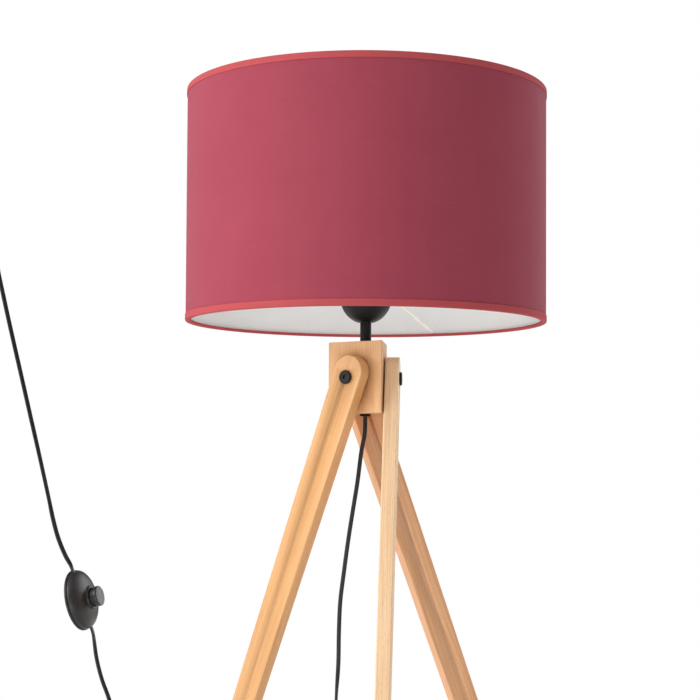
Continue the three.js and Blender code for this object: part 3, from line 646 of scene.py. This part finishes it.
# Metres.
SEAM_UV_SHIFT = 3  # sets the seam's threads apart from the cloth's
WIRE_RADIUS = 1.5 * MM
RING_RADIUS = 221.5 * MM
HUB_RADIUS = 20.8 * MM
ARM_RISE = 2.9 * MM  # the arms' outer ends lie on top of the lower rim ring
ARM_RIM_INSET = 0.6 * MM
ARM_HUB_INSET = 1.2 * MM


def shade():
    """Cloth and lining as two thin tubes, the tapes round both rims, and the cloth's seam."""
    bottom, top = (shade_low + RIM_INSET * MM) / MM, (shade_high - RIM_INSET * MM) / MM

    def tube(name, node, outer, thickness, look, slot):
        inner = outer - thickness
        profile = [(outer, bottom), (outer, top), (inner, top), (inner, bottom)]
        return turned_piece(name, profile, look, on_axis, node, SHADE_STEPS, loop=True)

    fabric = tube("shade_cloth", "shade_fabric", SHADE_RADIUS, CLOTH_THICKNESS, BURGUNDY, "burgundy_fabric")
    tube("shade_liner", "shade_lining", SHADE_RADIUS - LINING_DEPTH, LINING_THICKNESS, LINING, "white_lining")
    tapes = [tape("rim_tape_lower", shade_low / MM, 1), tape("rim_tape_upper", shade_high / MM, -1)]
    seam = shade_seam()


def tape(name, rim, up):
    """Binding tape folded round a rim: a flap outside, a round fold and a short tuck inside."""
    outer = SHADE_RADIUS + TAPE_OUT
    inner = SHADE_RADIUS - TAPE_IN
    fold = TAPE_FOLD
    inner_fold = fold - TAPE_THICKNESS
    shell = [
        (outer, TAPE_HEIGHT - TAPE_EDGE), (outer, fold),
        *arc(outer - fold, fold, fold, 0, -90, 6),
        *arc(inner + fold, fold, fold, -90, -180, 6),
        (inner, TAPE_TUCK), (inner + TAPE_THICKNESS, TAPE_TUCK),
        *arc(inner + fold, fold, inner_fold, -180, -90, 4),
        *arc(outer - fold, fold, inner_fold, -90, 0, 4),
        (outer - TAPE_THICKNESS, TAPE_HEIGHT), (outer - TAPE_EDGE, TAPE_HEIGHT),
    ]
    profile = [(radius, rim + up * height) for radius, height in shell]
    node = "tape_bottom" if up > 0 else "tape_top"
    return turned_piece(name, profile, CORAL, on_axis, node, SHADE_STEPS, loop=True)


def shade_seam():
    """The overlap where the cloth's two ends meet, at the back."""
    clear = (TAPE_HEIGHT + SEAM_GAP) * MM
    low, high = shade_low + clear, shade_high - clear
    inside, outside = SHADE_RADIUS * MM, (SHADE_RADIUS + SEAM_THICKNESS) * MM
    half = SEAM_WIDTH / 2 * MM / outside
    count = 10
    bm = bmesh.new()
    uv = bm.loops.layers.uv.new(CLOTH_UV)
    columns = []
    for i in range(count + 1):
        turn = math.pi / 2 - half + 2 * half * i / count
        reach = inside + SEAM_EDGE * MM if i in (0, count) else outside
        columns.append([bm.verts.new((r * math.cos(turn), r * math.sin(turn), z))
                        for r, z in ((inside, low), (reach, low), (reach, high), (inside, high))])
    for first, second in zip(columns, columns[1:]):
        for a, b in ((0, 1), (1, 2), (2, 3), (3, 0)):
            face = bm.faces.new((first[a], first[b], second[b], second[a]))
            for corner in face.loops:
                corner[uv].uv = (corner.vert.co.x + SEAM_UV_SHIFT, corner.vert.co.z)
    bm.faces.new(columns[0])
    bm.faces.new(columns[-1])
    mesh = to_mesh(bm, "shade_cloth_seam")
    return finished("shade_cloth_seam", mesh, BURGUNDY, place=on_axis)


def wire_ring(name, node, radius):
    """A round wire ring at its CAD node's height."""
    count = 200
    height = middle(node).z
    turns = [2 * math.pi * i / count for i in range(count)]
    route = [axis + Vector((radius * math.cos(t), radius * math.sin(t), height)) for t in turns]
    wides = [Vector((math.cos(t), math.sin(t), 0)) for t in turns]
    mesh = sweep(name, route, circle(WIRE_RADIUS, 12), wides, closed=True)
    finished(name, mesh, CREAM_WIRE, replaced=(node,), sharpen=False)


def spider():
    """Rim rings, the hub ring and the three straight arms between the lower rim ring and the hub."""
    wire_ring("rim_wire_lower", "wire_ring_bottom", RING_RADIUS)
    wire_ring("rim_wire_upper", "wire_ring_top", RING_RADIUS)
    wire_ring("hub_wire", "spider_hub", HUB_RADIUS)
    rim_height = middle("wire_ring_bottom").z + ARM_RISE
    hub_height = middle("spider_hub").z
    for number in (1, 2, 3):
        node = f"spider_arm_{number}"
        out = middle(node) - axis
        out.z = 0
        out.normalize()
        rim_end = axis + out * (RING_RADIUS - ARM_RIM_INSET) + Vector((0, 0, rim_height))
        hub_end = axis + out * (HUB_RADIUS + ARM_HUB_INSET) + Vector((0, 0, hub_height))
        route = smooth_route([rim_end, hub_end], 6 * MM)
        side = Vector((-out.y, out.x, 0))
        mesh = sweep(f"arm_wire_{number}", route, circle(WIRE_RADIUS, 12), [side] * len(route))
        finished(f"arm_wire_{number}", mesh, CREAM_WIRE, replaced=(node,))


# ---------------------------------------------------------------- stem, dome and lampholder
def heights(node):
    """The low and the high end of a CAD node's box, in millimetres."""
    return [corner.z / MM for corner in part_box(node)]


BORE = 5.3  # radius of the hole for the threaded rod, in millimetres


def stem():
    """Tube, half-round cup over it and the nut under the block, where the lead comes out."""
    low, high = heights("stem_tube")
    tube = [(BORE, low), (6.6, low), (7, low + 0.4), (7, high - 0.4), (6.6, high), (BORE, high)]
    turned_piece("stem", tube, BLACK_STEEL, on_axis, "stem_tube", loop=True)
    foot, edge = heights("dome_cup")
    radius, wall, seat = 32.0, 1.2, 11.0
    bowl = [(BORE, foot), *arc(0, edge, radius, -math.degrees(math.acos(seat / radius)), 0, 24)]
    bowl += arc(radius - wall / 2, edge, wall / 2, 0, 180, 6)[1:-1]
    bowl += arc(0, edge, radius - wall, 0, -math.degrees(math.acos(seat / (radius - wall))), 24)
    bowl += [(seat, foot + wall), (BORE, foot + wall)]
    turned_piece("dome", bowl, BLACK_STEEL, on_axis, "dome_cup", 128, loop=True)
    low, high = heights("rod_end_nut")
    nut = [(BORE, low), (6.35, low), (6.85, low + 0.5), (6.85, high), (BORE, high)]
    turned_piece("lead_outlet", nut, BLACK_STEEL, on_axis, "rod_end_nut", 64, loop=True)


def lampholder():
    """Cap, ridged shell and the ring nut that holds the shade's hub."""
    low, high = heights("lampholder_cap")
    cap = [(BORE, low), *arc(14, low + 5, 5, -90, 0, 8), (19, high - 0.5), (18.6, high), (17, high),
           (17, low + 5), (BORE, low + 5)]
    turned_piece("holder_cap", cap, BLACK_PLASTIC, on_axis, "lampholder_cap", loop=True)
    low, high = heights("lampholder_shell")
    hub_height = middle("spider_hub").z / MM
    shoulder = hub_height - 1.8
    shell = [(17, low), (18.6, low), (19, low + 0.5), (19, shoulder - 3), (23.6, shoulder - 2.2),
             (24, shoulder - 1.8), (24, shoulder - 0.3), (23.7, shoulder), (18.8, shoulder)]
    ridge = hub_height + 2
    while ridge < high - 4:
        shell += [(18.1, ridge), (18.1, ridge + 0.8), (18.8, ridge + 1.5), (18.8, ridge + 2.1)]
        ridge += 2.6
    shell += [(18.4, high - 0.4), (18.0, high), (17, high)]
    turned_piece("holder_shell", shell, BLACK_PLASTIC, on_axis, "lampholder_shell",
                 loop=True)
    low, high = heights("shade_ring_nut")
    ring = [(19.4, low), (26.6, low), (27, low + 0.4), (27, low + 1.7), (26.6, low + 2), (22.6, low + 2.8),
            (22, low + 3.6), (22, high - 0.4), (21.6, high), (19.4, high)]
    turned_piece("ring_nut", ring, BLACK_PLASTIC, on_axis, "shade_ring_nut", loop=True)


def bulb():
    """Screw cap, base and globe of the bulb."""
    low, high = heights("bulb_cap")
    cap = [(0, low), (4.4, low), (5, low + 0.5), (6.6, low + 2.6), (12.2, low + 4.4)]
    turn = low + 5.4
    while turn < high - 4.4:
        cap += [(13, turn + 0.9), (13, turn + 1.5), (12.3, turn + 2.6)]
        turn += 3.6
    cap += [(13, high - 1.6), (13, high), (0, high)]
    turned_piece("screw_cap", cap, STEEL, on_axis, "bulb_cap")
    low, high = heights("bulb_body")
    body = [(0, low), (13.6, low), (14, low + 0.5), (15.5, low + 6), (19.4, low + 14.5), (24, low + 24),
            (26.4, low + 30), (27.5, high), (0, high)]
    turned_piece("bulb_base", body, OPAL, on_axis, "bulb_body")
    low, high = heights("bulb_globe")
    radius = 30
    centre = high - radius
    start = -math.degrees(math.asin((centre - low) / radius))
    globe = [(0, low), *arc(0, centre, radius, start, 90, 24)[:-1], (0, high)]
    turned_piece("bulb_dome", globe, OPAL, on_axis, "bulb_globe")


# ---------------------------------------------------------------- wooden pieces
# Millimetres, but LEG_TAPER is the width lost per millimetre of length.
BLOCK_SIDE = 83.0
BLOCK_CORNER = 1.6
LEG_WIDTH = 41.2
LEG_TAPER = 0.0175
LEG_THICKNESS = 17.2
LEG_TOP_RISE = 7.1
FOOT_HEIGHT = 3.0
STOP_PIN_REACH = 13.0
STOP_PIN_HOLE = 2.8
STOP_SLOT_DEPTH = 6.0
STOP_PIN_DEPTH = 7
BOLT_HOLE = 3.3
BOLT_GAP = 0.3  # play on each side of a leg
INSERT_RADIUS = 4.6
INSERT_DEPTH = 13.4
WASHER_THICKNESS = 1
LEG_EASING = 1.2
BLOCK_EASING = 0.8


def prism(name, outline, low, high, upright="z"):
    """An outline in x and z (or x and y) carried from low to high along the third direction."""
    bm = bmesh.new()
    sides = []
    for level in (low, high):
        if upright == "z":
            sides.append([bm.verts.new((x, y, level)) for x, y in outline])
        else:
            sides.append([bm.verts.new((x, level, z)) for x, z in outline])
    for i in range(len(outline)):
        j = (i + 1) % len(outline)
        bm.faces.new((sides[0][i], sides[0][j], sides[1][j], sides[1][i]))
    bm.faces.new(sides[0])
    bm.faces.new(sides[1])
    return to_mesh(bm, name)


def carved(name, mesh, easing, cutters):
    """The mesh with its edges eased by so many millimetres and the cutters taken out of it."""
    thing = bpy.data.objects.new(name, mesh)
    bpy.context.scene.collection.objects.link(thing)
    bevel = thing.modifiers.new("bevel", "BEVEL")
    bevel.width = easing * MM
    bevel.segments = EASING_STEPS
    bevel.limit_method = "ANGLE"
    bevel.angle_limit = math.radians(45)
    tools = []
    for cutter in cutters:
        tool = bpy.data.objects.new(name + "_tool", cutter)
        bpy.context.scene.collection.objects.link(tool)
        boolean = thing.modifiers.new("cut", "BOOLEAN")
        boolean.operation = "DIFFERENCE"
        boolean.solver = "EXACT"
        boolean.object = tool
        tools.append(tool)
    normals = thing.modifiers.new("normals", "WEIGHTED_NORMAL")
    normals.keep_sharp = True
    for polygon in mesh.polygons:
        polygon.use_smooth = True
    bpy.context.view_layer.update()
    baked = bpy.data.meshes.new_from_object(thing.evaluated_get(bpy.context.evaluated_depsgraph_get()))
    for extra in (thing, *tools):
        bpy.data.objects.remove(extra)
    return baked


def round_hole(radius, start, end, place):
    """A round cutter along +Z of its own place, in metres."""
    mesh = prism("hole", circle(radius, 32), start, end)
    mesh.transform(place)
    return mesh


def side_place(joint):
    """Frame of one side of the block at the leg's pivot: +X across, -Y out of the face, +Z up."""
    out = Vector(joint["axis"]).normalized()
    return Matrix.Translation(joint["pos_m"]) @ Matrix(
        (Vector((-out.y, out.x, 0)), -out, Vector((0, 0, 1)))
    ).transposed().to_4x4()


def leg_outline(splay, drop):
    """Outline in the leg's own X and Z, in metres, from the pivot; drop is the pivot's height."""
    def half(down):
        return (LEG_WIDTH - LEG_TAPER * down) / 2

    outline = [(r, z + LEG_TOP_RISE) for r, z in arc(0, 0, half(-LEG_TOP_RISE), 0, 180, 40)]
    for side in (-1, 1):
        down = (drop - FOOT_HEIGHT - side * LEG_WIDTH * math.sin(splay) / 2) / (
            math.cos(splay) - side * LEG_TAPER * math.sin(splay) / 2
        )
        outline.append((side * half(down), -down))
    return [(x * MM, z * MM) for x, z in outline]


def stop_slot(splay):
    """Curved slot for the stop pin, in the leg's own X and Z."""
    start, end = math.pi / 2 - splay, math.pi / 2
    far = [(STOP_PIN_REACH + STOP_PIN_HOLE) * MM, (STOP_PIN_REACH - STOP_PIN_HOLE) * MM]
    steps = 8
    turns = [start + (end - start) * i / steps for i in range(steps + 1)]
    outline = [(far[0] * math.cos(t), far[0] * math.sin(t)) for t in turns]
    for i in range(1, steps):
        t = end + math.pi * i / steps
        outline.append((
            STOP_PIN_HOLE * MM * math.cos(t),
            (STOP_PIN_REACH + STOP_PIN_HOLE * math.sin(t)) * MM,
        ))
    outline += [(far[1] * math.cos(t), far[1] * math.sin(t)) for t in reversed(turns)]
    for i in range(1, steps):
        t = start + math.pi + math.pi * i / steps
        outline.append((
            (STOP_PIN_REACH * math.cos(start) + STOP_PIN_HOLE * math.cos(t)) * MM,
            (STOP_PIN_REACH * math.sin(start) + STOP_PIN_HOLE * math.sin(t)) * MM,
        ))
    return [(x * math.cos(splay) - z * math.sin(splay), x * math.sin(splay) + z * math.cos(splay))
            for x, z in outline]


def legs():
    """Tapered legs with a round top, the bolt's hole and the stop pin's slot."""
    half = LEG_THICKNESS / 2 * MM
    for number in (1, 2, 3):
        joint = joints[f"leg_{number}_fold"]
        splay = math.radians(joint["range_deg"][1])
        place = side_place(joint) @ Matrix.Rotation(splay, 4, "Y")
        name = f"leg_wood_{number}"
        board = prism(name, leg_outline(splay, joint["pos_m"][2] / MM), -half, half, upright="y")
        quarter = Matrix.Rotation(math.radians(-90), 4, "X")
        hole = round_hole(BOLT_HOLE * MM, -2 * half, 2 * half, quarter)
        slot = prism("slot", stop_slot(splay), half - STOP_SLOT_DEPTH * MM, half + MM, upright="y")
        mesh = carved(name, board, LEG_EASING, [hole, slot])
        look = wood_look(f"beech_leg_{number}", place, *LEG_GRAINS_AND_PAINTED_LIGHT[number - 1])
        finished(name, mesh, look, f"leg_{number}", (f"leg_{number}",), place, sharpen=False)


def head_block():
    """Three-sided block with the rod's hole, and a hole for the insert and the pin in each face."""
    low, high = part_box("head_block")
    corner_distance = 2 * BLOCK_SIDE / (2 * math.sqrt(3)) - 2 * BLOCK_CORNER
    outline = []
    for i in range(3):
        middle_turn = -30 + 120 * i
        x = corner_distance * math.cos(math.radians(middle_turn))
        y = corner_distance * math.sin(math.radians(middle_turn))
        rounding = arc(0, 0, BLOCK_CORNER, middle_turn - 60, middle_turn + 60, 6)
        outline += [((x + dx) * MM, (y + dy) * MM) for dx, dy in rounding]
    first_out = Vector(joints["leg_1_fold"]["axis"])
    turn = math.atan2(first_out.x, -first_out.y)
    place = Matrix.Translation(axis) @ Matrix.Rotation(turn, 4, "Z")
    cutters = [round_hole(BORE * MM, low.z - MM, high.z + MM, Matrix.Identity(4))]
    face = BLOCK_SIDE / (2 * math.sqrt(3)) * MM
    pivot = joints["leg_1_fold"]["pos_m"][2]
    holes = ((INSERT_RADIUS, INSERT_DEPTH, 0), (STOP_PIN_HOLE, STOP_PIN_DEPTH, STOP_PIN_REACH))
    for i in range(3):
        spin = Matrix.Rotation(math.radians(120 * i), 4, "Z")
        for radius, depth, height in holes:
            inward = Matrix.Translation((0, -face, pivot + height * MM)) @ Matrix.Rotation(
                math.radians(-90), 4, "X")
            cutters.append(round_hole(radius * MM, -MM, depth * MM, spin @ inward))
    board = prism("head_block_wood", outline, low.z, high.z)
    mesh = carved("head_block_wood", board, BLOCK_EASING, cutters)
    look = wood_look("beech_block", place, *BLOCK_GRAIN)
    finished("head_block_wood", mesh, look, replaced=("head_block",), place=place, sharpen=False)


def bolts():
    """Button-head bolts with a hexagon socket, and the washers behind the legs."""
    length, socket = 30.1, 2.5
    bolt = [
        (0, -length), (2.5, -length), (3, 0.5 - length), (3, 0), (7.9, 0),
        *arc(7.9, 0.6, 0.6, -90, 0, 3), *arc(7.3, 1.6, 1.2, 0, 90, 6), (6.2, 2.8), (5.7, 2.3),
        (3.4, 2.3), (socket, 2.1), (socket, 0.6), (0, 0.5),
    ]
    hexagon = {len(bolt) - 3, len(bolt) - 2}
    washer = [
        (BOLT_HOLE, 0), (7.8, 0), (8, 0.2), (8, WASHER_THICKNESS - 0.2), (7.8, WASHER_THICKNESS),
        (BOLT_HOLE, WASHER_THICKNESS),
    ]
    to_head = Matrix.Translation((0, -(LEG_THICKNESS / 2 + BOLT_GAP) * MM, 0))
    to_head = to_head @ Matrix.Rotation(math.radians(90), 4, "X")
    to_washer = Matrix.Translation((0, 0, -(LEG_THICKNESS + 2 * BOLT_GAP + WASHER_THICKNESS) * MM))
    for number in (1, 2, 3):
        place = side_place(joints[f"leg_{number}_fold"]) @ to_head
        turned_piece(f"bolt_{number}", bolt, BLACK_STEEL, place, f"pivot_bolt_{number}", 72,
                     flats=hexagon)
        turned_piece(f"washer_{number}", washer, BLACK_STEEL, place @ to_washer,
                     f"spacer_washer_{number}", 64, loop=True)


def foot_pads():
    """Felt pads under the feet."""
    for number in (1, 2, 3):
        fine_copy(f"foot_pad_{number}", f"felt_glide_{number}", FELT, 0.5, body=f"leg_{number}")


shade()
spider()
stem()
lampholder()
bulb()
legs()
head_block()
bolts()
foot_pads()

# ---------------------------------------------------------------- CAD nodes that show as they are
KEPT = {
    "threaded_rod": STEEL, "dome_nut": STEEL, "cord_grip": BLACK_PLASTIC, "lampholder_core": CERAMIC,
    "screw_shell": BRASS, "centre_contact": BRASS, "switch_spring": STEEL, "switch_module": CERAMIC,
    "lead_inner": SHEATH,
}
for number in (1, 2, 3):
    KEPT[f"threaded_insert_{number}"] = BRASS
    KEPT[f"stop_pin_{number}"] = STEEL
for node, look in KEPT.items():
    mesh = frame["nodes"][node].data
    mesh.materials.clear()
    mesh.materials.append(look)


# ---------------------------------------------------------------- floor and light
FLOOR_RADIUS = 4.5
FLOOR_THICKNESS = 0.02
GLOW_START, GLOW_END = 1.1, 2.8  # distances from the middle between which the floor's glow grows
GLOW = 0.9
AMBIENT = 0.27
WHITE = (1, 1, 1, 1)


def pale_floor_look():
    """Pale matt floor that glows more towards its rim, so that it ends in the white behind it."""
    look = Look("pale_floor", Roughness=0.7)
    look.shader.inputs["Emission Color"].default_value = WHITE
    place = look.place()
    speck = look.noise(look.scaled(place, (90, 90, 90)))
    from_middle = look.add("VectorMath", {0: place}, output="Value", operation="LENGTH")
    glow = look.span(from_middle, GLOW_START, GLOW_END, 0, GLOW)
    colour = look.mix(speck, rgb(238, 238, 237), rgb(244, 244, 243))
    return look.set(Base_Color=colour, Emission_Strength=glow)


floor = bpy.data.objects.new("floor", prism("floor", circle(FLOOR_RADIUS, 128), -FLOOR_THICKNESS, 0.0))
floor.location = axis
floor.data.materials.append(pale_floor_look())
bpy.context.scene.collection.objects.link(floor)


def softbox(name, place, target, width, height, power):
    """A large rectangular light that faces a target."""
    light = bpy.data.lights.new(name, "AREA")
    light.shape = "RECTANGLE"
    light.size = width
    light.size_y = height
    light.energy = power
    lamp = bpy.data.objects.new(name, light)
    lamp.location = axis + Vector(place)
    aim = axis + Vector(target) - lamp.location
    lamp.rotation_euler = aim.to_track_quat("-Z", "Y").to_euler()
    bpy.context.scene.collection.objects.link(lamp)


# Places and targets from the foot of the stem's axis, sizes in metres, powers in watts.
softbox("key", (-3.1, -1.1, 2.2), (0, 0, 1.1), 3.0, 2.6, 119)
softbox("overhead", (0, -1.4, 3.6), (0, 0, 0.9), 2.8, 2.8, 20)
softbox("low_fill", (-0.4, -2.2, 0.2), (0, 0, 0.9), 1.8, 1.2, 10)
softbox("rear", (2.4, 2.2, 1.9), (0, 0, 1.1), 2.4, 2.4, 50)

# The camera sees a white backdrop, and the lamp gets a dimmer even light from all round.
world = bpy.data.worlds.new("white_studio")
world.use_nodes = True
bpy.context.scene.world = world
nodes, links = world.node_tree.nodes, world.node_tree.links
ambient = nodes["Background"]
ambient.inputs["Color"].default_value = WHITE
ambient.inputs["Strength"].default_value = AMBIENT
backdrop = nodes.new("ShaderNodeBackground")
backdrop.inputs["Color"].default_value = WHITE
backdrop.inputs["Strength"].default_value = 1.0
chooser = nodes.new("ShaderNodeMixShader")
rays = nodes.new("ShaderNodeLightPath")
links.new(rays.outputs["Is Camera Ray"], chooser.inputs[0])
links.new(ambient.outputs["Background"], chooser.inputs[1])
links.new(backdrop.outputs["Background"], chooser.inputs[2])
links.new(chooser.outputs["Shader"], nodes["World Output"].inputs["Surface"])

view = bpy.context.scene.view_settings
view.view_transform = "Standard"
view.look = "None"
